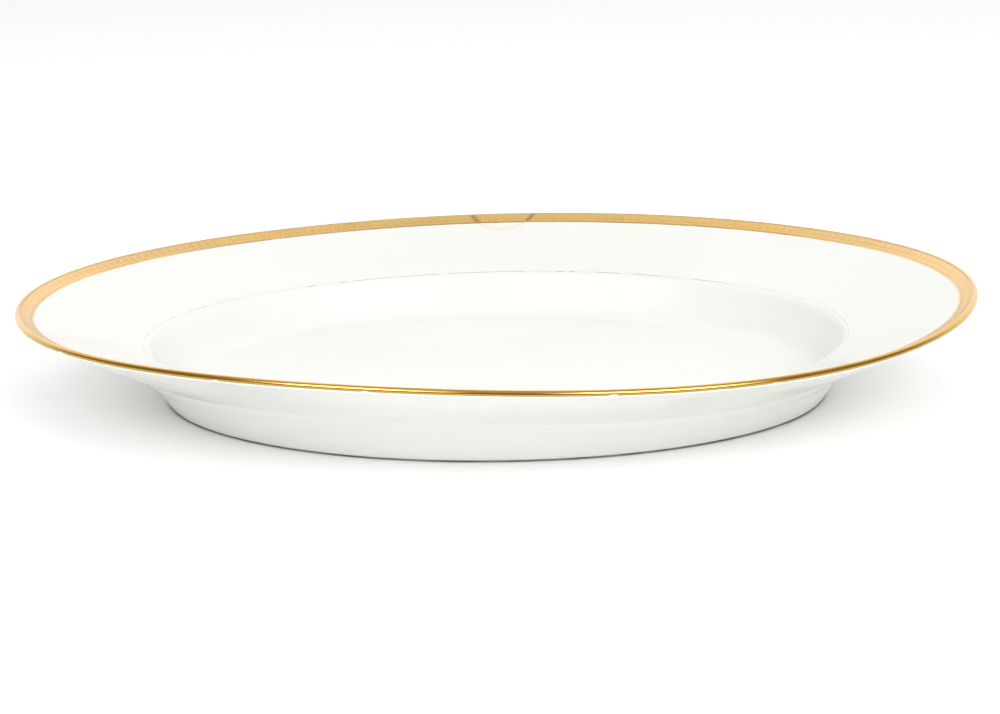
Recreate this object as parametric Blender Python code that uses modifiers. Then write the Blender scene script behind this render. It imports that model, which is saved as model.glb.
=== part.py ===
"""An oval china serving platter with an etched gold border, standing on a foot ring.

Each piece is turned from its cross-section as a round ring, and then pressed oval: the radius of a
turned point becomes its oval's half-length along X, and the oval's half-width along Y follows from
it. The rim also keeps the slight twist that a wide rim takes in the kiln. Units are metres, +Z is
up, and the origin is the middle of the foot's bearing plane.
"""

import math

import bpy
from mathutils import Vector

MM = 0.001

# Plan of the platter: half-lengths along X, the rim's half-width along Y, and the well's proportion.
RIM_HALF_LENGTH = 203.0 * MM
RIM_HALF_WIDTH = 146.0 * MM
GOLD_INNER_HALF_LENGTH = 195.0 * MM
CREASE_HALF_LENGTH = 157.4 * MM
SHOULDER_HALF_LENGTH = 150.1 * MM
WALL_KNEE_HALF_LENGTH = 148.0 * MM
FOOT_HALF_LENGTH = 141.0 * MM
WELL_WIDTH_TO_LENGTH = 0.6865

# Heights above the surface that the platter stands on.
RIM_HEIGHT = 44.0 * MM
GOLD_INNER_HEIGHT = 40.9 * MM
SHOULDER_HEIGHT = 25.6 * MM
CREASE_HEIGHT = 18.7 * MM
WALL_KNEE_HEIGHT = 11.5 * MM
WELL_FLOOR_HEIGHT = 7.6 * MM
RECESS_HEIGHT = 3.6 * MM

# The lip, the cavetto between shoulder and well floor, and the outer wall below the crease.
LIP_RADIUS = 1.5 * MM
SHOULDER_SETBACK = 2.6 * MM
SHOULDER_RADIUS = 4.5 * MM
CAVETTO_SLOPE = math.radians(54)
CAVETTO_RADIUS = 13.0 * MM
CREASE_RADIUS = 8.0 * MM
WALL_KNEE_RADIUS = 22.0 * MM

# The foot ring and the recess inside it.
FOOT_RING_HEIGHT = 1.2 * MM
FOOT_RING_WIDTH = 4.8 * MM
FOOT_RING_FLARE = 0.3 * MM
FOOT_EDGE_RADIUS = 0.5 * MM
RECESS_CORNER_RADIUS = 3.0 * MM

# The gold layers, and the clearance that separate pieces keep.
GAP = 0.3 * MM
GOLD_THICKNESS = 0.3 * MM
REBATE_DEPTH = GOLD_THICKNESS + GAP
INNER_LINE_WIDTH = 1.0 * MM
VERGE_LINE_WIDTH = 0.6 * MM
GOLD_LOWER_ANGLE = math.radians(-13)

# Kiln twist of the lip: cosine and sine heights, in mm, of one to four waves round the oval.
TWIST_WAVES = [(1.05, 0.29), (-0.05, 1.50), (0.82, 0.42), (0.44, -0.33)]
TWIST_START_HALF_LENGTH = 142.5 * MM
SHOULDER_TWIST_SHARE = 0.6

# Fineness of the turned meshes.
TURNING_STEPS = 80
ARC_STEP = math.radians(20)
MERGE_DISTANCE = 0.1 * MM
SMOOTH_ANGLE = math.radians(35)

# Points of the cross-section, as (half-length, height).
LIP_CENTRE = Vector((RIM_HALF_LENGTH - LIP_RADIUS, RIM_HEIGHT - LIP_RADIUS))
GOLD_INNER = Vector((GOLD_INNER_HALF_LENGTH, GOLD_INNER_HEIGHT))
SHOULDER = Vector((SHOULDER_HALF_LENGTH, SHOULDER_HEIGHT))
CREASE = Vector((CREASE_HALF_LENGTH, CREASE_HEIGHT))
WALL_KNEE = Vector((WALL_KNEE_HALF_LENGTH, WALL_KNEE_HEIGHT))
FOOT = Vector((FOOT_HALF_LENGTH, 0))

# The border is even at the rim, and over the easing depth it turns smoothly into the well's proportion.
BORDER_DEPTH = RIM_HALF_LENGTH - SHOULDER_HALF_LENGTH
SURPLUS_WIDTH = RIM_HALF_WIDTH - WELL_WIDTH_TO_LENGTH * RIM_HALF_LENGTH
EASING_DEPTH = 2 * SURPLUS_WIDTH / (1 - WELL_WIDTH_TO_LENGTH)

COLOURS = {
    "china_glaze": ((0.88, 0.88, 0.86), 0.08, 0.0),
    "biscuit": ((0.74, 0.72, 0.67), 0.85, 0.0),
    "burnished_gold": ((0.83, 0.60, 0.25), 0.18, 1.0),
    "etched_gold": ((0.80, 0.58, 0.26), 0.42, 1.0),
}


def half_width(half_length):
    """Half-width of the oval that has this half-length."""
    depth = RIM_HALF_LENGTH - half_length
    if depth >= EASING_DEPTH:
        return half_length * WELL_WIDTH_TO_LENGTH
    return RIM_HALF_WIDTH - depth + (1 - WELL_WIDTH_TO_LENGTH) * depth * depth / (2 * EASING_DEPTH)


def twist_share(half_length):
    """How much of the lip's twist an oval has: none at the foot, and all of it at the lip."""
    if half_length >= SHOULDER_HALF_LENGTH:
        outward = (half_length - SHOULDER_HALF_LENGTH) / BORDER_DEPTH
        return SHOULDER_TWIST_SHARE + (1 - SHOULDER_TWIST_SHARE) * outward
    rise_length = SHOULDER_HALF_LENGTH - TWIST_START_HALF_LENGTH
    rise = max(0.0, (half_length - TWIST_START_HALF_LENGTH) / rise_length)
    return SHOULDER_TWIST_SHARE * rise * rise * (3 - 2 * rise)


def twist(angle):
    """Height that the kiln gave the lip at this angle round the oval."""
    waves = enumerate(TWIST_WAVES, start=1)
    return MM * sum(c * math.cos(n * angle) + s * math.sin(n * angle) for n, (c, s) in waves)


def press_oval(mesh):
    """Moves a round turned mesh's points to the oval and its twist."""
    for vertex in mesh.vertices:
        radius = math.hypot(vertex.co.x, vertex.co.y)
        angle = math.atan2(vertex.co.y, vertex.co.x)
        vertex.co.x = radius * math.cos(angle)
        vertex.co.y = half_width(radius) * math.sin(angle)
        vertex.co.z += twist_share(radius) * twist(angle)
    mesh.update()


def arc(centre, radius, start, end):
    """Points of an arc from one angle to another, both ends included."""
    count = math.ceil(abs(end - start) / ARC_STEP)
    angles = [start + (end - start) * i / count for i in range(count + 1)]
    return [centre + radius * Vector((math.cos(a), math.sin(a))) for a in angles]


def rounded(before, corner, after, radius):
    """Points of the arc that rounds a corner between its two neighbours."""
    to_before = (before - corner).normalized()
    to_after = (after - corner).normalized()
    half_angle = to_before.angle(to_after) / 2
    middle = (to_before + to_after).normalized()
    centre = corner + middle * radius / math.sin(half_angle)
    first = corner + to_before * radius / math.tan(half_angle) - centre
    last = corner + to_after * radius / math.tan(half_angle) - centre
    start = math.atan2(first.y, first.x)
    turn = math.remainder(math.atan2(last.y, last.x) - start, math.tau)
    return arc(centre, radius, start, start + turn)


def on_face(start, end, distance, depth=0.0):
    """Point at a distance along the upper face from start towards end, sunk by a depth."""
    along = (end - start).normalized()
    return start + along * distance + Vector((along.y, -along.x)) * depth


def lip_tangent_angle(point, side):
    """Angle on the lip where a line from the point touches it, over it (side 1) or under it (-1)."""
    to_point = point - LIP_CENTRE
    return math.atan2(to_point.y, to_point.x) - side * math.acos(LIP_RADIUS / to_point.length)


LIP_TOP_ANGLE = lip_tangent_angle(GOLD_INNER, 1) + math.tau
LIP_UNDER_ANGLE = lip_tangent_angle(CREASE, -1)
LIP_TOP = arc(LIP_CENTRE, LIP_RADIUS, LIP_TOP_ANGLE, 0)[0]
LIP_UNDER = arc(LIP_CENTRE, LIP_RADIUS, LIP_UNDER_ANGLE, 0)[0]


def foot_face_at(height):
    """Point of the foot's steep outer face at this height."""
    return FOOT + Vector((FOOT_RING_FLARE, FOOT_RING_HEIGHT)) * height / FOOT_RING_HEIGHT


def upper_profile():
    """The china's upper face, from the middle of the well to the rebate of the gold border."""
    well_middle = Vector((0, WELL_FLOOR_HEIGHT))
    shoulder_corner = on_face(SHOULDER, GOLD_INNER, -SHOULDER_SETBACK)
    cavetto_length = (shoulder_corner.y - WELL_FLOOR_HEIGHT) / math.tan(CAVETTO_SLOPE)
    well_corner = Vector((shoulder_corner.x - cavetto_length, WELL_FLOOR_HEIGHT))
    groove = VERGE_LINE_WIDTH / 2 + GAP
    return [
        well_middle,
        well_middle.lerp(well_corner, 0.5),
        *rounded(well_middle, well_corner, shoulder_corner, CAVETTO_RADIUS),
        *rounded(well_corner, shoulder_corner, SHOULDER, SHOULDER_RADIUS),
        on_face(SHOULDER, GOLD_INNER, -groove),
        on_face(SHOULDER, GOLD_INNER, -groove, REBATE_DEPTH),
        on_face(SHOULDER, GOLD_INNER, groove, REBATE_DEPTH),
        on_face(SHOULDER, GOLD_INNER, groove),
        on_face(GOLD_INNER, LIP_TOP, -GAP),
        on_face(GOLD_INNER, LIP_TOP, -GAP, REBATE_DEPTH),
    ]


def under_profile():
    """The china's lip and underside, from the top of the lip to the middle of the recess."""
    rebate_end = GOLD_LOWER_ANGLE - GAP / LIP_RADIUS
    wall_foot = foot_face_at(FOOT_RING_HEIGHT + GAP)
    root_inner = Vector((FOOT_HALF_LENGTH - FOOT_RING_WIDTH, wall_foot.y))
    recess_corner = Vector((root_inner.x - RECESS_HEIGHT + root_inner.y, RECESS_HEIGHT))
    recess_middle = Vector((0, RECESS_HEIGHT))
    return [
        *arc(LIP_CENTRE, LIP_RADIUS - REBATE_DEPTH, LIP_TOP_ANGLE, rebate_end),
        *arc(LIP_CENTRE, LIP_RADIUS, rebate_end, LIP_UNDER_ANGLE),
        *rounded(LIP_UNDER, CREASE, WALL_KNEE, CREASE_RADIUS),
        *rounded(CREASE, WALL_KNEE, wall_foot, WALL_KNEE_RADIUS),
        wall_foot,
        root_inner,
        *rounded(root_inner, recess_corner, recess_middle, RECESS_CORNER_RADIUS),
        recess_middle,
    ]


def foot_ring_profile():
    """The bare bearing ring, with its two lower edges rounded."""
    outer_top = foot_face_at(FOOT_RING_HEIGHT)
    inner_top = Vector((FOOT_HALF_LENGTH - FOOT_RING_WIDTH, FOOT_RING_HEIGHT))
    inner_bottom = Vector((inner_top.x, 0))
    return [
        inner_top,
        outer_top,
        *rounded(outer_top, FOOT, inner_bottom, FOOT_EDGE_RADIUS),
        *rounded(FOOT, inner_bottom, inner_top, FOOT_EDGE_RADIUS),
    ]


def strip_profile(start, end, first, last):
    """A thin layer of gold on the straight face from start towards end, between two distances."""
    return [
        on_face(start, end, first),
        on_face(start, end, last),
        on_face(start, end, last, GOLD_THICKNESS),
        on_face(start, end, first, GOLD_THICKNESS),
    ]


def lip_gold_profile():
    """The gold that wraps the lip, from the top of the border to just under the edge."""
    return [
        *arc(LIP_CENTRE, LIP_RADIUS, LIP_TOP_ANGLE, GOLD_LOWER_ANGLE),
        *arc(LIP_CENTRE, LIP_RADIUS - GOLD_THICKNESS, GOLD_LOWER_ANGLE, LIP_TOP_ANGLE),
    ]


def material(name):
    """The named material, made when it is first asked for."""
    if name in bpy.data.materials:
        return bpy.data.materials[name]
    colour, roughness, metallic = COLOURS[name]
    made = bpy.data.materials.new(name)
    made.use_nodes = True
    shader = made.node_tree.nodes["Principled BSDF"]
    shader.inputs["Base Color"].default_value = (*colour, 1)
    shader.inputs["Roughness"].default_value = roughness
    shader.inputs["Metallic"].default_value = metallic
    made.diffuse_color = (*colour, 1)
    return made


def turned(profile, is_closed):
    """A round mesh turned from a profile in the XZ plane, with the Screw modifier."""
    edges = [(i, i + 1) for i in range(len(profile) - 1)]
    if is_closed:
        edges.append((len(profile) - 1, 0))
    outline = bpy.data.meshes.new("profile")
    outline.from_pydata([(p.x, 0, p.y) for p in profile], edges, [])
    blank = bpy.data.objects.new("profile", outline)
    bpy.context.scene.collection.objects.link(blank)
    screw = blank.modifiers.new("turning", "SCREW")
    screw.steps = TURNING_STEPS
    screw.render_steps = TURNING_STEPS
    screw.use_merge_vertices = True
    screw.merge_threshold = MERGE_DISTANCE
    graph = bpy.context.evaluated_depsgraph_get()
    mesh = bpy.data.meshes.new_from_object(blank.evaluated_get(graph))
    bpy.data.objects.remove(blank)
    bpy.data.meshes.remove(outline)
    return mesh


def add_piece(collection, name, material_name, profile, is_closed=True):
    """One piece of the platter: turned, pressed oval, shaded smooth and given its material."""
    mesh = turned(profile, is_closed)
    mesh.name = name
    press_oval(mesh)
    mesh.shade_smooth()
    mesh.set_sharp_from_angle(angle=SMOOTH_ANGLE)
    mesh.materials.clear()
    mesh.materials.append(material(material_name))
    collection.objects.link(bpy.data.objects.new(name, mesh))


def build():
    """Clears the scene and makes the platter's pieces."""
    for item in list(bpy.data.objects):
        bpy.data.objects.remove(item)
    platter = bpy.data.collections.new("china_serving_platter")
    bpy.context.scene.collection.children.link(platter)

    band_start = INNER_LINE_WIDTH + GAP
    band_end = (LIP_TOP - GOLD_INNER).length - GAP
    inner_line = strip_profile(GOLD_INNER, LIP_TOP, 0, INNER_LINE_WIDTH)
    band = strip_profile(GOLD_INNER, LIP_TOP, band_start, band_end)
    verge_line = strip_profile(SHOULDER, GOLD_INNER, -VERGE_LINE_WIDTH / 2, VERGE_LINE_WIDTH / 2)

    add_piece(platter, "china_body", "china_glaze", upper_profile() + under_profile(), False)
    add_piece(platter, "foot_ring", "biscuit", foot_ring_profile())
    add_piece(platter, "burnished_gold_edge", "burnished_gold", lip_gold_profile())
    add_piece(platter, "etched_gold_band", "etched_gold", band)
    add_piece(platter, "gold_band_inner_line", "burnished_gold", inner_line)
    add_piece(platter, "gold_verge_line", "burnished_gold", verge_line)


build()
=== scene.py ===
"""The looks of an oval china serving platter with an etched gold border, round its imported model.

Every piece is a fine mesh swept round the platter's oval. A point of a cross-section is (half-length
of its oval along X, height), and the rules that turn it into a place, the oval's half-width and the
kiln's twist of the rim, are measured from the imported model. Everything is in metres, +Z up.
"""

import math

import bmesh
import bpy
import numpy as np
from mathutils import Matrix, Vector


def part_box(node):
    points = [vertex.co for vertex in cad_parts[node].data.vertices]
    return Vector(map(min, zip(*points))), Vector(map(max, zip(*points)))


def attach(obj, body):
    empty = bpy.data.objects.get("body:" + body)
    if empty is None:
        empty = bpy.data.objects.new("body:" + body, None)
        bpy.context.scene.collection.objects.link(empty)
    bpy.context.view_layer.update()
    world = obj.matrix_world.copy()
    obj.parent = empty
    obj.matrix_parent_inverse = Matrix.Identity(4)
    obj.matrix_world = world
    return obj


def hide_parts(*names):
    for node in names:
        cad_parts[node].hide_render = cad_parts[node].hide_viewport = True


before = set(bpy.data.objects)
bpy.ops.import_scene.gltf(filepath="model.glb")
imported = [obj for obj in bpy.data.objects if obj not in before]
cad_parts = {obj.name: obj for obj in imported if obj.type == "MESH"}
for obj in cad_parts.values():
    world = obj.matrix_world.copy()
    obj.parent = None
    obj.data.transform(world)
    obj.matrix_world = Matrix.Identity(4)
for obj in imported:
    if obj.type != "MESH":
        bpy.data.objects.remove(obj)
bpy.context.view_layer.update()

MM = 0.001

# The lip and the well's corners. The lip's gold ends a little below its outermost point.
LIP_RADIUS = 1.5 * MM
GOLD_LOWER_ANGLE = math.radians(-19)
SHOULDER_SETBACK = 2.6 * MM
SHOULDER_RADIUS = 4.5 * MM
CAVETTO_SLOPE = math.radians(54)
CAVETTO_RADIUS = 13 * MM

# The underside: crease under the rim, knee of the wall, and foot.
CREASE_BEYOND_SHOULDER = 7.3 * MM
CREASE_BELOW_SHOULDER = 6.9 * MM
CREASE_RADIUS = 8 * MM
KNEE_BEYOND_FOOT = 7 * MM
KNEE_HEIGHT = 11.5 * MM
KNEE_RADIUS = 22 * MM
FOOT_FLARE = 0.25
RECESS_CORNER_RADIUS = 3 * MM
BARE_HEIGHT = 0.8 * MM
BARE_EDGE_RADIUS = 0.65 * MM

# Thickness of the gold, what the china is sunk under it, and the relief of the etched border.
FILM = 0.04 * MM
SEAT = 0.05 * MM
RELIEF_DEPTH = 0.12 * MM
RELIEF_SEAT = 0.22 * MM
MOTIF_LENGTH = 4.1 * MM
MOTIF_COLUMNS = 16
BAND_ROWS = 20

# The thin lines of gold: how far they rise, and how far the verge line is clear of the glaze.
LINE_RISE = 0.015 * MM
VERGE_RISE = 0.03 * MM
VERGE_CLEARANCE = 0.002 * MM

# Fineness of the swept meshes.
BODY_COLUMNS = 720
GOLD_COLUMNS = 1440
ARC_STEP = math.radians(5)
LONGEST_STEP = 3 * MM
SHARPEST_SMOOTH_ANGLE = math.radians(50)
WELD_DISTANCE = 0.0001 * MM

# The kiln's twist and waviness, none at the foot and all of it at the lip. Vertices nearer than
# RING_SPACING to a node's edge are on that edge.
RING_SPACING = 0.05 * MM
TWIST_CLEARANCE = 1.5 * MM
TWIST_ORDERS = range(1, 5)
WAVINESS = 0.04 * MM

# An old half-moon hairline at the back of the rim.
MOON_CENTRE = (-2.9 * MM, 149.0 * MM)
MOON_RADIUS = 16.2 * MM
MOON_ROUNDNESS = 1.75
MOON_WIDTH = 1.8 * MM

# Camera: a long lens a metre away, a little above the rim.
CAMERA_DISTANCE = 1.0
CAMERA_AZIMUTH = math.radians(-3.097)
CAMERA_ELEVATION = math.radians(16.403)
CAMERA_ROLL = math.radians(-1.2)
CAMERA_SLIDE = (2.18 * MM, -5.371 * MM)
CAMERA_AIM_HEIGHT = 20 * MM
LENS_MM = 84.16
SENSOR_MM = 36

# The studio's light: at the back, overhead, at the sides and in front, and from the table under the
# platter and clear of it.
BACK_LIGHT = 1.05
OVERHEAD_LIGHT = 0.5
SIDE_LIGHT = 0.22
FLOOR_GLOW = (0.03, 0.27)
GLOW_STARTS = 0.08
GLOW_FULL = 0.24
GLOW_OVAL = (0.7, 1, 1)


# ---- The oval's rules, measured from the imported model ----


def vertices_of(node):
    """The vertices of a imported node, each place once."""
    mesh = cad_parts[node].data
    found = np.empty(3 * len(mesh.vertices), np.float32)
    mesh.vertices.foreach_get("co", found)
    return np.unique(found.reshape(-1, 3).round(6), axis=0).astype(float)


RIM_LENGTH, RIM_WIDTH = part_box("burnished_gold_edge")[1][:2]
FOOT_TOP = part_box("foot_ring")[1]
WELL_RATIO = FOOT_TOP.y / FOOT_TOP.x
EASING_DEPTH = 2 * (RIM_WIDTH - WELL_RATIO * RIM_LENGTH) / (1 - WELL_RATIO)


def half_width(half_length):
    """Half-width of the oval that has this half-length: even at the rim, and in proportion in the well."""
    depth = RIM_LENGTH - half_length
    eased = RIM_WIDTH - depth + (1 - WELL_RATIO) * depth**2 / (2 * EASING_DEPTH)
    return np.where(depth < EASING_DEPTH, eased, half_length * WELL_RATIO)


def half_length_at(x, y):
    """Half-length of the oval through each point, by halving the range it can be in."""
    low = np.zeros_like(x)
    high = np.full_like(x, 2 * RIM_LENGTH)
    for _ in range(48):
        middle = (low + high) / 2
        beyond = (x / middle) ** 2 + (y / half_width(middle)) ** 2 > 1
        low = np.where(beyond, middle, low)
        high = np.where(beyond, high, middle)
    return middle


def polar(node):
    """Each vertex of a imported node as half-length, angle and height."""
    x, y, z = vertices_of(node).T
    a = half_length_at(x, y)
    return a, np.arctan2(y / half_width(a), x / a), z


def waves(angle):
    """Cosines and sines of the twist's orders at these angles, one column each."""
    return np.stack([f(n * angle) for n in TWIST_ORDERS for f in (np.cos, np.sin)], axis=-1)


def measured_twist(node):
    """Half-length of a node's outermost ring, and the height of each twist wave on it."""
    a, angle, z = polar(node)
    outer = a > a.max() - RING_SPACING
    columns = np.column_stack([np.ones(outer.sum()), waves(angle[outer])])
    return a.max(), np.linalg.lstsq(columns, z[outer], rcond=None)[0][1:]


LIP_LENGTH, LIP_TWIST = measured_twist("burnished_gold_edge")
VERGE_LENGTH, VERGE_TWIST = measured_twist("gold_verge_line")
VERGE_SHARE = VERGE_TWIST @ LIP_TWIST / (LIP_TWIST @ LIP_TWIST)
TWIST_START = FOOT_TOP.x + TWIST_CLEARANCE


def twist_share(a):
    """How much of the lip's twist an oval has: none at the foot, and all of it at the lip."""
    outward = VERGE_SHARE + (1 - VERGE_SHARE) * (a - VERGE_LENGTH) / (LIP_LENGTH - VERGE_LENGTH)
    rise = np.clip((a - TWIST_START) / (VERGE_LENGTH - TWIST_START), 0, 1)
    return np.where(a > VERGE_LENGTH, outward, VERGE_SHARE * rise**2 * (3 - 2 * rise))


def waviness(a, angle):
    """Hand-finished china isn't quite even: a few hundredths of a millimetre, and none at the foot."""
    rise = np.clip((a - TWIST_START) / (LIP_LENGTH - TWIST_START), 0, 1)
    slow = np.sin(5 * angle + 1.1 + 40 * a) + 0.6 * np.sin(9 * angle - 0.7 - 65 * a)
    return WAVINESS * rise * slow


def untwisted(node):
    """Half-lengths and heights of a node's vertices, with the twist taken off."""
    a, angle, z = polar(node)
    return a, z - twist_share(a) * (waves(angle) @ LIP_TWIST)


def strip_face(node):
    """Inner and outer corner of the upper face of a thin gold strip."""
    a, z = untwisted(node)
    first = a < a.min() + RING_SPACING
    top = z > z.max() - RING_SPACING
    return Vector((a[first].mean(), z[first].mean())), Vector((a[top].mean(), z[top].mean()))


def inner_heights(node):
    """Heights of the underside and of the top of a node, at their innermost rings."""
    a, _, z = polar(node)
    under = z < (z[a.argmin()] + z.min()) / 2
    return z[under][a[under].argmin()], z[a.argmin()]


# ---- Points of the cross-section ----

RIM_HEIGHT = untwisted("burnished_gold_edge")[1].max()
LIP_CENTRE = Vector((RIM_LENGTH - LIP_RADIUS, RIM_HEIGHT - LIP_RADIUS))
LINE_INNER, LINE_OUTER = strip_face("gold_band_inner_line")
VERGE_INNER, VERGE_OUTER = strip_face("gold_verge_line")
SHOULDER = (VERGE_INNER + VERGE_OUTER) / 2
CREASE = SHOULDER + Vector((CREASE_BEYOND_SHOULDER, -CREASE_BELOW_SHOULDER))
FOOT = Vector((FOOT_TOP.x - FOOT_FLARE * FOOT_TOP.z, 0))
KNEE = FOOT + Vector((KNEE_BEYOND_FOOT, KNEE_HEIGHT))
FOOT_INNER_LENGTH = polar("foot_ring")[0].min()
RECESS, WELL_FLOOR = inner_heights("china_body")


def arc(centre, radius, start, end):
    """Points of an arc from one angle to another, both ends included."""
    count = max(2, math.ceil(abs(end - start) / ARC_STEP))
    angles = [start + (end - start) * i / count for i in range(count + 1)]
    return [centre + radius * Vector((math.cos(t), math.sin(t))) for t in angles]


def rounded(before, corner, after, radius):
    """Points of the arc that rounds a corner between its two neighbours."""
    to_before = (before - corner).normalized()
    to_after = (after - corner).normalized()
    half_angle = to_before.angle(to_after) / 2
    centre = corner + (to_before + to_after).normalized() * radius / math.sin(half_angle)
    first = corner + to_before * radius / math.tan(half_angle) - centre
    last = corner + to_after * radius / math.tan(half_angle) - centre
    start = math.atan2(first.y, first.x)
    turn = math.remainder(math.atan2(last.y, last.x) - start, math.tau)
    return arc(centre, radius, start, start + turn)


def divided(points):
    """The same line, with its long stretches divided evenly."""
    fine = [points[0]]
    for start, end in zip(points, points[1:]):
        count = max(1, math.ceil((end - start).length / LONGEST_STEP))
        fine += [start.lerp(end, (i + 1) / count) for i in range(count)]
    return fine


def tangent_angle(point, side):
    """Angle on the lip where a line from the point touches it, over it (side 1) or under it (-1)."""
    to_point = point - LIP_CENTRE
    return math.atan2(to_point.y, to_point.x) - side * math.acos(LIP_RADIUS / to_point.length)


def lip_point(angle, depth=0.0):
    """Point on the lip's bead at an angle, sunk by a depth."""
    return LIP_CENTRE + (LIP_RADIUS - depth) * Vector((math.cos(angle), math.sin(angle)))


LIP_TOP_ANGLE = tangent_angle(LINE_INNER, 1) + math.tau
LIP_UNDER_ANGLE = tangent_angle(CREASE, -1)
BORDER_LENGTH = (lip_point(LIP_TOP_ANGLE) - LINE_INNER).length
LINE_WIDTH = (LINE_OUTER - LINE_INNER).length


def on_face(start, end, distance, depth=0.0):
    """Point at a distance along the upper face from start towards end, sunk by a depth."""
    along = (end - start).normalized()
    return start + along * distance + Vector((along.y, -along.x)) * depth


def on_border(distance, depth=0.0):
    """Point of the gold border, at a distance outward from its inner edge."""
    return on_face(LINE_INNER, lip_point(LIP_TOP_ANGLE), distance, depth)


# ---- Meshes ----


def place(section, angle):
    """Places of a cross-section's points (rows), the same or different at each angle (columns)."""
    a, z = section[..., 0], section[..., 1]
    turned = z + twist_share(a) * (waves(angle) @ LIP_TWIST) + waviness(a, angle)
    return np.stack([a * np.cos(angle), half_width(a) * np.sin(angle), turned], axis=-1)


def swept_object(name, points, closed=True):
    """A mesh object from a grid of points: rows along the cross-section, columns round the oval."""
    rows, columns = points.shape[:2]
    row = np.arange(rows if closed else rows - 1)[:, None]
    column = np.arange(columns)[None, :]
    row_after = (row + 1) % rows
    column_after = (column + 1) % columns
    faces = [row * columns + column, row_after * columns + column]
    faces += [row_after * columns + column_after, row * columns + column_after]
    faces = np.stack(faces, axis=-1).reshape(-1, 4)
    mesh = bpy.data.meshes.new(name)
    mesh.vertices.add(rows * columns)
    mesh.vertices.foreach_set("co", points.reshape(-1).astype(np.float32))
    mesh.loops.add(faces.size)
    mesh.loops.foreach_set("vertex_index", faces.reshape(-1).astype(np.int32))
    mesh.polygons.add(len(faces))
    mesh.polygons.foreach_set("loop_start", np.arange(0, faces.size, 4, dtype=np.int32))
    mesh.update(calc_edges=True)
    mesh.shade_smooth()
    made = bpy.data.objects.new(name, mesh)
    bpy.context.scene.collection.objects.link(made)
    return made


def add_attribute(piece, name, values):
    """Stores one number for each vertex, for the piece's material to read."""
    attribute = piece.data.attributes.new(name, "FLOAT", "POINT")
    attribute.data.foreach_set("value", np.asarray(values, np.float32).reshape(-1))


def swept(name, profile, columns, closed=True):
    """A piece swept from a cross-section, with its sharp corners kept sharp."""
    angle = np.arange(columns) * math.tau / columns
    piece = swept_object(name, place(np.array(profile)[:, None, :], angle), closed)
    piece.data.set_sharp_from_angle(angle=SHARPEST_SMOOTH_ANGLE)
    return piece


def weld_axis(piece):
    """Joins the vertices that meet on the platter's axis, and drops the faces that this empties."""
    shape = bmesh.new()
    shape.from_mesh(piece.data)
    bmesh.ops.remove_doubles(shape, verts=shape.verts, dist=WELD_DISTANCE)
    shape.to_mesh(piece.data)
    shape.free()


def body_profile():
    """The china from the middle of the well, over the lip and under the foot to the recess's middle."""
    shoulder_corner = on_face(SHOULDER, LINE_INNER, -SHOULDER_SETBACK)
    cavetto_length = (shoulder_corner.y - WELL_FLOOR) / math.tan(CAVETTO_SLOPE)
    well_corner = Vector((shoulder_corner.x - cavetto_length, WELL_FLOOR))
    well_middle = Vector((0, WELL_FLOOR))
    step = SEAT / 2
    china_starts = GOLD_LOWER_ANGLE - 1.5 * SEAT / LIP_RADIUS
    foot_top = FOOT + Vector((FOOT_FLARE * FOOT_TOP.z, FOOT_TOP.z))
    glaze_end = FOOT + Vector((FOOT_FLARE * BARE_HEIGHT, BARE_HEIGHT))
    inner_end = Vector((FOOT_INNER_LENGTH, BARE_HEIGHT))
    inner_top = Vector((FOOT_INNER_LENGTH, FOOT_TOP.z))
    recess_corner = Vector((FOOT_INNER_LENGTH - RECESS + FOOT_TOP.z, RECESS))
    recess_middle = Vector((0, RECESS))
    return divided([
        well_middle,
        *rounded(well_middle, well_corner, shoulder_corner, CAVETTO_RADIUS),
        *rounded(well_corner, shoulder_corner, SHOULDER, SHOULDER_RADIUS),
        VERGE_INNER,
        VERGE_OUTER,
        on_border(-step),
        on_border(-step, SEAT),
        on_border(LINE_WIDTH + step, SEAT),
        on_border(LINE_WIDTH + step, RELIEF_SEAT),
        on_border(BORDER_LENGTH - step, RELIEF_SEAT),
        *arc(LIP_CENTRE, LIP_RADIUS - SEAT, LIP_TOP_ANGLE, china_starts),
        *arc(LIP_CENTRE, LIP_RADIUS, china_starts, LIP_UNDER_ANGLE),
        *rounded(lip_point(LIP_UNDER_ANGLE), CREASE, KNEE, CREASE_RADIUS),
        *rounded(CREASE, KNEE, foot_top, KNEE_RADIUS),
        foot_top,
        *rounded(foot_top, glaze_end, inner_end, BARE_EDGE_RADIUS),
        *rounded(glaze_end, inner_end, inner_top, BARE_EDGE_RADIUS),
        *rounded(inner_top, recess_corner, recess_middle, RECESS_CORNER_RADIUS),
        recess_middle,
    ])


def make_body():
    """The glazed china body."""
    piece = swept("china_body_glazed", body_profile(), BODY_COLUMNS, closed=False)
    weld_axis(piece)
    return piece


def make_foot_ring():
    """The bare bearing ring under the foot."""
    top = BARE_HEIGHT - SEAT
    inner_top = Vector((FOOT_INNER_LENGTH, top))
    inner_bottom = Vector((FOOT_INNER_LENGTH, 0))
    outer_top = FOOT + Vector((FOOT_FLARE * top, top))
    profile = [
        inner_top,
        outer_top,
        *rounded(outer_top, FOOT, inner_bottom, BARE_EDGE_RADIUS),
        *rounded(FOOT, inner_bottom, inner_top, BARE_EDGE_RADIUS),
    ]
    return swept("foot_ring_biscuit", profile, BODY_COLUMNS)


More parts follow.
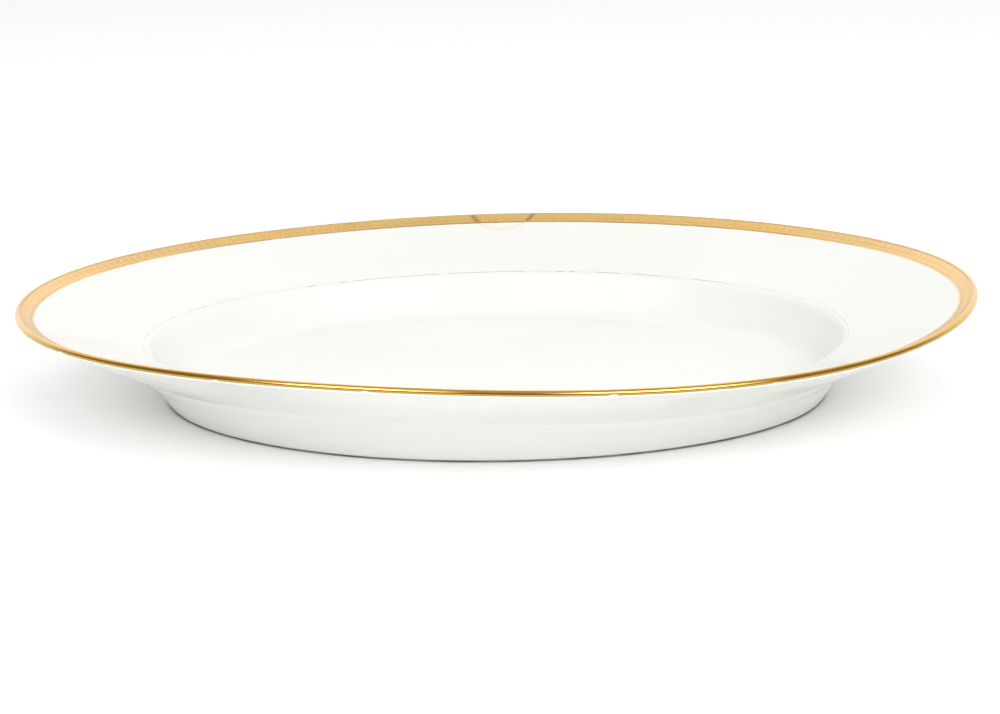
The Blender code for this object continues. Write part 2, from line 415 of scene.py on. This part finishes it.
def make_lip_gold():
    """The burnished gold over the lip. Its vertices know how far they are above its lower edge."""
    outer = arc(LIP_CENTRE, LIP_RADIUS, LIP_TOP_ANGLE, GOLD_LOWER_ANGLE)
    inner = arc(LIP_CENTRE, LIP_RADIUS - FILM, GOLD_LOWER_ANGLE, LIP_TOP_ANGLE)
    outer[0] = lip_point(LIP_TOP_ANGLE, 0.8 * FILM)
    piece = swept("lip_gold_burnished", outer + inner, GOLD_COLUMNS)
    steps = np.linspace(1, 0, len(outer))
    above = np.concatenate([steps, steps[::-1]]) * (LIP_TOP_ANGLE - GOLD_LOWER_ANGLE) * LIP_RADIUS / MM
    add_attribute(piece, "above_edge", np.repeat(above, GOLD_COLUMNS))
    return piece


def make_inner_line():
    """The thin line that closes the border: crowned, and sunk a film's thickness into the china."""
    across = [i / 6 for i in range(7)]
    crown = [on_border(LINE_WIDTH * t, -LINE_RISE * 4 * t * (1 - t)) for t in across]
    under = [on_border(LINE_WIDTH, FILM), on_border(0, FILM)]
    return swept("border_inner_line", crown + under, GOLD_COLUMNS)


def make_verge_line():
    """The hairline round the well: crowned, a little narrower than its node, and just clear of the glaze."""
    width = (VERGE_OUTER - VERGE_INNER).length
    first, last = 0.1, 0.9
    across = [first, 0.3, 0.5, 0.7, last]
    rises = [(t, VERGE_RISE * (0.3 + 2.8 * t * (1 - t))) for t in across]
    rises += [(last, VERGE_CLEARANCE), (first, VERGE_CLEARANCE)]
    profile = [on_face(VERGE_INNER, VERGE_OUTER, width * t, -rise) for t, rise in rises]
    return swept("verge_hairline", profile, GOLD_COLUMNS)


def bump(distance, radius, edge):
    """1 inside a radius, falling smoothly to 0 over the edge's width; all in mm."""
    t = np.clip((radius + edge - distance) / edge, 0, 1)
    return t * t * (3 - 2 * t)


def etched_motif(along, across, half_band):
    """Height from 0 to 1 of the border's repeat, in mm from the middle of one of its arches.

    A row of lancet arches stands on the border's inner edge. Each holds a bud, a small drop hangs
    between two arches, and a row of beads and a fine line run along both edges.
    """
    half_length = MOTIF_LENGTH / MM / 2
    foot, tip = -0.55 * half_band, 0.68 * half_band
    climb = np.clip((across - foot) / (tip - foot), 0, 1)
    arch = 0.86 * half_length * np.cos(math.pi / 2 * climb**1.6)
    standing = (across > foot - 0.15) & (across < tip + 0.15)
    height = bump(abs(abs(along) - arch), 0.16, 0.2) * standing
    bud = np.hypot(along / 0.42, (across + 0.06 * half_band) / (0.36 * half_band))
    height = np.maximum(height, bump(bud, 0.7, 0.5))
    drop = np.hypot((half_length - abs(along)) / 0.3, (across - 0.38 * half_band) / (0.26 * half_band))
    height = np.maximum(height, bump(drop, 0.7, 0.5))
    pitch = MOTIF_LENGTH / MM / 4
    from_bead = (along + pitch / 2) % pitch - pitch / 2
    bead = np.hypot(from_bead, abs(across) - 0.8 * half_band)
    height = np.maximum(height, bump(bead, 0.2, 0.2))
    return np.maximum(height, bump(half_band - abs(across), 0.12, 0.12))


def angles_by_length(count):
    """Angles that divide the border's middle oval into equal lengths."""
    fine = np.linspace(0, math.tau, 20001)
    a = (LINE_OUTER.x + RIM_LENGTH) / 2
    x, y = a * np.cos(fine), half_width(a) * np.sin(fine)
    length = np.concatenate([[0], np.cumsum(np.hypot(np.diff(x), np.diff(y)))])
    return np.interp(np.arange(count) * length[-1] / count, length, fine), length[-1]


def make_band():
    """The etched border, with its relief as real geometry. Its vertices know how raised they are."""
    perimeter = angles_by_length(1)[1]
    motifs = 2 * round(perimeter / MOTIF_LENGTH / 2)
    columns = motifs * MOTIF_COLUMNS
    angle = angles_by_length(columns)[0]
    first = LINE_WIDTH + SEAT
    last = BORDER_LENGTH - SEAT
    half_band = (last - first) / 2 / MM
    across = np.linspace(-half_band, half_band, BAND_ROWS)
    repeat = (np.arange(columns) % MOTIF_COLUMNS) / MOTIF_COLUMNS
    along = (repeat - 0.5) * MOTIF_LENGTH / MM
    height = etched_motif(along[None, :], across[:, None], half_band)
    flat = np.array([on_border(first + (last - first) * i / (BAND_ROWS - 1)) for i in range(BAND_ROWS)])
    down = np.array(on_border(0, 1) - on_border(0))
    depth = RELIEF_DEPTH * (1 - height)
    depth[-1] = RELIEF_DEPTH
    section = flat[:, None, :] + depth[:, :, None] * down
    under = [flat[-1] + down * (RELIEF_SEAT - SEAT / 2), flat[0] + down * (RELIEF_SEAT - SEAT / 2)]
    section = np.concatenate([section, np.broadcast_to(np.array(under)[:, None, :], (2, columns, 2))])
    piece = swept_object("etched_gold_border", place(section, angle))
    add_attribute(piece, "relief", np.concatenate([height, np.zeros((2, columns))]))
    return piece


# ---- Materials ----


class Graph:
    """The nodes of a material or a world, made in one line each."""

    def __init__(self, owner):
        self.owner = owner
        self.owner.use_nodes = True
        self.tree = self.owner.node_tree
        self.shader = self.tree.nodes.get("Principled BSDF")
        self.place = self.node("ShaderNodeTexCoord").outputs["Object"]

    def node(self, kind, inputs=None, **settings):
        """A node with these settings; an input is a value, or another node's output."""
        made = self.tree.nodes.new(kind)
        for key, value in settings.items():
            setattr(made, key, value)
        for key, value in (inputs or {}).items():
            self.feed(made.inputs[key], value)
        return made

    def feed(self, socket, value):
        """Sets a socket, or links it."""
        if isinstance(value, bpy.types.NodeSocket):
            self.tree.links.new(value, socket)
        else:
            socket.default_value = value

    def set(self, **inputs):
        """Sets or links the shader's own sockets; an underscore stands for a space."""
        for key, value in inputs.items():
            self.feed(self.shader.inputs[key.replace("_", " ")], value)

    def noise(self, scale, detail=2.0, roughness=0.5):
        """Noise from 0 to 1."""
        inputs = {"Vector": self.place, "Scale": scale, "Detail": detail, "Roughness": roughness}
        return self.node("ShaderNodeTexNoise", inputs).outputs["Fac"]

    def axes(self):
        """X, Y and Z of the place."""
        return self.node("ShaderNodeSeparateXYZ", {"Vector": self.place}).outputs

    def math(self, operation, *values):
        """One arithmetic step."""
        return self.node("ShaderNodeMath", dict(enumerate(values)), operation=operation).outputs[0]

    def ramp(self, value, low, high, start=0.0, end=1.0):
        """The value's range from low to high, as start to end, smoothly."""
        inputs = {"Value": value, "From Min": low, "From Max": high, "To Min": start, "To Max": end}
        made = self.node("ShaderNodeMapRange", inputs, interpolation_type="SMOOTHSTEP")
        return made.outputs["Result"]

    def mix(self, factor, first, second):
        """Colour between two colours."""
        made = self.node("ShaderNodeMix", data_type="RGBA")
        self.feed(made.inputs[0], factor)
        for socket, value in ((made.inputs[6], first), (made.inputs[7], second)):
            self.feed(socket, value if isinstance(value, bpy.types.NodeSocket) else (*value, 1))
        return made.outputs[2]

    def bumps(self, height, distance, strength=1.0):
        """Normal of a surface with this height."""
        inputs = {"Height": height, "Distance": distance, "Strength": strength}
        self.feed(self.shader.inputs["Normal"], self.node("ShaderNodeBump", inputs).outputs["Normal"])

    def attribute(self, name):
        """A number stored on the mesh."""
        return self.node("ShaderNodeAttribute", attribute_name=name).outputs["Fac"]

    def moon(self):
        """How much of the old half-moon hairline shows here, from 0 to 1."""
        total = 0.0
        for axis, middle in zip(self.axes()[:2], MOON_CENTRE):
            offset = self.math("ABSOLUTE", self.math("SUBTRACT", axis, middle))
            total = self.math("ADD", self.math("POWER", offset, MOON_ROUNDNESS), total)
        radius = self.math("POWER", total, 1 / MOON_ROUNDNESS)
        away = self.math("ABSOLUTE", self.math("SUBTRACT", radius, MOON_RADIUS))
        return self.ramp(away, 0.1 * MOON_WIDTH, MOON_WIDTH, 1.0, 0.0)


CHINA_WHITE = (0.925, 0.935, 0.895)
CHINA_WARM = (0.910, 0.918, 0.870)
SPECK_BROWN = (0.30, 0.25, 0.18)
MOON_ON_CHINA = (0.88, 0.78, 0.47)
MOON_ON_GOLD = (0.38, 0.22, 0.11)
CLAY_CLEAN = ((0.78, 0.74, 0.66), (0.58, 0.54, 0.47))
# Dark clay of the sides: soil, and painted shade of the gap under the foot.
CLAY_SOIL_AND_SHADE = ((0.30, 0.26, 0.20), (0.16, 0.135, 0.10))
GOLD_BRIGHT = (0.90, 0.52, 0.11)
GOLD_DEEP = (0.79, 0.42, 0.055)
# Dark brown of the painted shade at the lip gold's lower edge.
GOLD_LOWER_SHADE = (0.44, 0.26, 0.03)
GOLD_LINE = (0.95, 0.68, 0.28)
GOLD_VERGE = ((0.88, 0.70, 0.38), (0.84, 0.62, 0.30))
GOLD_FROSTED = ((1.0, 0.62, 0.18), (0.95, 0.56, 0.14))
GOLD_RAISED = (1.0, 0.70, 0.25)
# Duller gold of the painted shade at the border's ends.
GOLD_ENDS_SHADE = (0.80, 0.51, 0.19)


def glaze():
    """White china under a clear glaze: soft tone, a few iron specks, and a faint orange peel."""
    g = Graph(bpy.data.materials.new("china_glaze"))
    colour = g.mix(g.ramp(g.noise(7, 3), 0.35, 0.7), CHINA_WHITE, CHINA_WARM)
    cells = g.node("ShaderNodeTexVoronoi", {"Vector": g.place, "Scale": 30.0})
    chosen = g.node("ShaderNodeSeparateColor", {"Color": cells.outputs["Color"]}).outputs["Red"]
    dot = g.ramp(cells.outputs["Distance"], 0.005, 0.011, 1.0, 0.0)
    speck = g.math("MULTIPLY", dot, g.ramp(chosen, 0.80, 0.82))
    colour = g.mix(g.math("MULTIPLY", speck, 0.7), colour, SPECK_BROWN)
    colour = g.mix(g.math("MULTIPLY", g.moon(), 0.45), colour, MOON_ON_CHINA)
    g.set(Base_Color=colour, Roughness=g.ramp(g.noise(45, 3), 0.3, 0.75, 0.09, 0.16))
    g.shader.inputs["IOR"].default_value = 1.5
    g.bumps(g.noise(180, 2), 0.02 * MM, 0.5)
    return g.owner


def biscuit():
    """Bare fired clay of fine grain: rubbed clean where it stands, and dark up its sides, from soil and from
    a painted shadow of the gap where it meets the table.
    """
    g = Graph(bpy.data.materials.new("foot_biscuit"))
    grain = g.noise(2600, 4, 0.7)
    side = g.ramp(g.axes()["Z"], 0.02 * MM, 0.15 * MM)
    clean = g.mix(g.ramp(g.noise(90, 3), 0.45, 0.75), *CLAY_CLEAN)
    # Soil and painted shade: the sides are darkened to stand for the shadow in the gap under the foot's
    # rounded edge.
    soil_and_shade = g.mix(g.ramp(g.noise(60, 4), 0.35, 0.7), *CLAY_SOIL_AND_SHADE)
    g.set(Base_Color=g.mix(side, clean, soil_and_shade), Roughness=g.ramp(grain, 0.2, 0.8, 0.75, 0.95))
    g.bumps(grain, 0.05 * MM)
    return g.owner


def worn(g, colour, wear, roughness):
    """Gold of this colour where it isn't worn through to the china, with a pale sheen at a low angle."""
    g.set(Base_Color=g.mix(wear, colour, CHINA_WHITE))
    g.set(Metallic=g.math("SUBTRACT", 1.0, wear))
    g.set(Roughness=roughness)
    g.shader.inputs["Coat Weight"].default_value = 0.8
    g.shader.inputs["Coat Roughness"].default_value = 0.15


def lip_gold():
    """Burnished gold: rubbed in places, with small chips at its lower edge, and darkened to brown towards
    that edge by a painted shade.
    """
    g = Graph(bpy.data.materials.new("lip_gold"))
    above = g.attribute("above_edge")
    tone = g.mix(g.ramp(g.noise(28, 4), 0.35, 0.7), GOLD_BRIGHT, GOLD_DEEP)
    # Painted shade: the gold turns dark brown towards its lower edge.
    tone = g.mix(g.ramp(above, 0.1, 1.6, 1.0, 0.0), tone, GOLD_LOWER_SHADE)
    chips = g.math("MULTIPLY", g.ramp(g.noise(160, 2), 0.60, 0.72), 0.45)
    wear = g.ramp(g.math("SUBTRACT", chips, above), -0.04, 0.0)
    worn(g, tone, wear, g.ramp(g.noise(60, 4), 0.3, 0.75, 0.10, 0.22))
    g.bumps(g.noise(500, 3), 0.01 * MM, 0.5)
    return g.owner


def line_gold(name, first, second, threshold, fade):
    """A thin line of gold between two colours, worn through where noise passes a threshold, and faded."""
    g = Graph(bpy.data.materials.new(name))
    wear = g.ramp(g.noise(70, 5, 0.65), threshold, threshold + 0.12, fade, 1.0)
    tone = g.ramp(g.noise(28, 4), 0.35, 0.7)
    worn(g, g.mix(tone, first, second), wear, g.ramp(g.noise(60, 3), 0.3, 0.75, 0.2, 0.35))
    return g.owner


def etched_gold():
    """Acid-etched gold: a frosted ground with burnished relief, duller towards the platter's ends as a
    painted shade.
    """
    g = Graph(bpy.data.materials.new("etched_gold"))
    raised = g.ramp(g.attribute("relief"), 0.25, 0.85)
    grain = g.noise(3200, 2, 0.6)
    ground = g.mix(g.ramp(g.noise(40, 3), 0.35, 0.7), *GOLD_FROSTED)
    colour = g.mix(raised, ground, GOLD_RAISED)
    # Painted shade: the border's colour dulls towards the platter's two ends.
    along = g.math("ABSOLUTE", g.axes()["X"])
    colour = g.mix(g.ramp(along, 0.11, 0.18), colour, GOLD_ENDS_SHADE)
    colour = g.mix(g.math("MULTIPLY", g.moon(), 0.7), colour, MOON_ON_GOLD)
    g.set(Base_Color=colour, Roughness=g.ramp(raised, 0.0, 1.0, 0.38, 0.28))
    g.shader.inputs["Metallic"].default_value = 1.0
    g.shader.inputs["Coat Weight"].default_value = 0.8
    g.shader.inputs["Coat Roughness"].default_value = 0.3
    g.bumps(grain, 0.015 * MM, 0.6)
    return g.owner


def finish_piece(piece, material, slot, *nodes):
    """Gives a piece its material, hangs it on the platter's root, and hides the imported nodes it stands in
    for.
    """
    piece.data.materials.append(material)
    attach(piece, "root")
    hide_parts(*nodes)


def make_platter():
    """All the pieces of the platter. It returns a collection each of the lip and the etched border."""
    body, foot, lip, band = make_body(), make_foot_ring(), make_lip_gold(), make_band()
    border_gold = line_gold("border_line_gold", GOLD_LINE, GOLD_BRIGHT, 0.72, 0.0)
    verge_gold = line_gold("verge_gold", *GOLD_VERGE, 0.70, 0.4)
    finish_piece(body, glaze(), "china_glaze", "china_body")
    finish_piece(foot, biscuit(), "biscuit", "foot_ring")
    finish_piece(lip, lip_gold(), "burnished_gold", "burnished_gold_edge")
    finish_piece(band, etched_gold(), "etched_gold", "etched_gold_band")
    finish_piece(make_inner_line(), border_gold, "burnished_gold", "gold_band_inner_line")
    finish_piece(make_verge_line(), verge_gold, "burnished_gold", "gold_verge_line")
    gilded = [bpy.data.collections.new(name) for name in ("lip_only", "band_only")]
    for collection, piece in zip(gilded, (lip, band)):
        collection.objects.link(piece)
    return gilded


# ---- Floor, light and camera ----


def make_floor():
    """A wide white table top, which glows a little where the platter doesn't shade it."""
    bpy.ops.mesh.primitive_plane_add(size=12, location=(0, 0, -0.02 * MM))
    floor = bpy.context.object
    floor.name = "floor"
    g = Graph(bpy.data.materials.new("floor_white"))
    g.set(Base_Color=g.mix(g.noise(1.5, 1), (0.95, 0.95, 0.95), (0.93, 0.93, 0.93)), Roughness=0.7)
    oval = g.node("ShaderNodeVectorMath", {0: g.place, 1: GLOW_OVAL}, operation="MULTIPLY").outputs[0]
    away = g.node("ShaderNodeVectorMath", {0: oval}, operation="LENGTH").outputs["Value"]
    glow = g.ramp(away, GLOW_STARTS, GLOW_FULL, *FLOOR_GLOW)
    g.set(Emission_Color=(1.0, 1.0, 1.0, 1), Emission_Strength=glow)
    g.shader.inputs["Specular IOR Level"].default_value = 0.1
    floor.data.materials.append(g.owner)


def make_softbox(name, azimuth, elevation, distance, size, power, reflected=True, only=None):
    """A round lamp that faces the platter, and may light only one collection's pieces.

    Azimuth 0 is in front and 90 to the right. The angles are in degrees, and the power is in watts.
    """
    light = bpy.data.lights.new(name, "AREA")
    light.shape = "DISK"
    light.size = size
    light.energy = power
    turn, rise = math.radians(azimuth), math.radians(elevation)
    direction = Vector((math.sin(turn) * math.cos(rise), -math.cos(turn) * math.cos(rise), math.sin(rise)))
    made = bpy.data.objects.new(name, light)
    made.location = direction * distance
    made.rotation_euler = direction.to_track_quat("Z", "Y").to_euler()
    made.visible_glossy = reflected
    if only:
        made.light_linking.receiver_collection = only
    bpy.context.scene.collection.objects.link(made)


def make_world():
    """A white studio: bright low at the back, dimmer overhead, and dark at the sides and in front."""
    g = Graph(bpy.data.worlds.new("studio"))
    bpy.context.scene.world = g.owner
    direction = g.place.node.outputs["Generated"]
    _, back, height = g.node("ShaderNodeSeparateXYZ", {"Vector": direction}).outputs
    around = g.ramp(height, 0.78, 0.97, BACK_LIGHT, OVERHEAD_LIGHT)
    shaded = g.math("MULTIPLY", around, g.ramp(back, 0.05, 0.65, SIDE_LIGHT, 1.0))
    light = g.math("MAXIMUM", shaded, g.ramp(height, 0.6, 0.9, 0.0, OVERHEAD_LIGHT))
    background = g.tree.nodes["Background"]
    g.feed(background.inputs["Strength"], light)
    background.inputs["Color"].default_value = (1.0, 1.0, 1.0, 1)


def make_camera():
    """The camera, aimed by its azimuth, elevation and roll at a point a little beside the middle."""
    azimuth, elevation = CAMERA_AZIMUTH, CAMERA_ELEVATION
    level = Vector((math.sin(azimuth), math.cos(azimuth), 0))
    forward = level * math.cos(elevation) - Vector((0, 0, math.sin(elevation)))
    right = Vector((math.cos(azimuth), -math.sin(azimuth), 0))
    up = right.cross(forward)
    aim = Vector((0, 0, CAMERA_AIM_HEIGHT)) + right * CAMERA_SLIDE[0] + up * CAMERA_SLIDE[1]
    rolled_right = right * math.cos(CAMERA_ROLL) + up * math.sin(CAMERA_ROLL)
    rolled_up = up * math.cos(CAMERA_ROLL) - right * math.sin(CAMERA_ROLL)
    camera = bpy.data.cameras.new("camera")
    camera.sensor_width = SENSOR_MM
    camera.lens = LENS_MM
    camera.clip_start = 0.01
    made = bpy.data.objects.new("camera", camera)
    bpy.context.scene.collection.objects.link(made)
    turned = Matrix((rolled_right, rolled_up, -forward)).transposed().to_4x4()
    made.matrix_world = Matrix.Translation(aim - forward * CAMERA_DISTANCE) @ turned
    bpy.context.scene.camera = made


lip_only, band_only = make_platter()
make_floor()
make_world()
make_softbox("softbox_left", -28, 37, 1.8, 1.25, 4)
make_softbox("softbox_right", 35, 35, 1.8, 1.25, 4.5)
make_softbox("fill_left", -28, 33, 1.8, 1.0, 5.5, reflected=False)
make_softbox("fill_right", 35, 33, 1.8, 1.0, 9, reflected=False)
make_softbox("fill_above", 0, 88, 2.2, 2.0, 8.5, reflected=False)
make_softbox("fill_low", 25, 12, 1.8, 0.7, 1.6, reflected=False)
make_softbox("glint_left", -28, 38, 1.8, 0.85, 6.5, only=lip_only)
make_softbox("glint_right", 35, 38, 1.8, 0.85, 8, only=lip_only)
make_softbox("band_light", 180, 42, 1.8, 1.2, 1.6, only=band_only)
make_camera()
bpy.context.scene.view_settings.view_transform = "Standard"
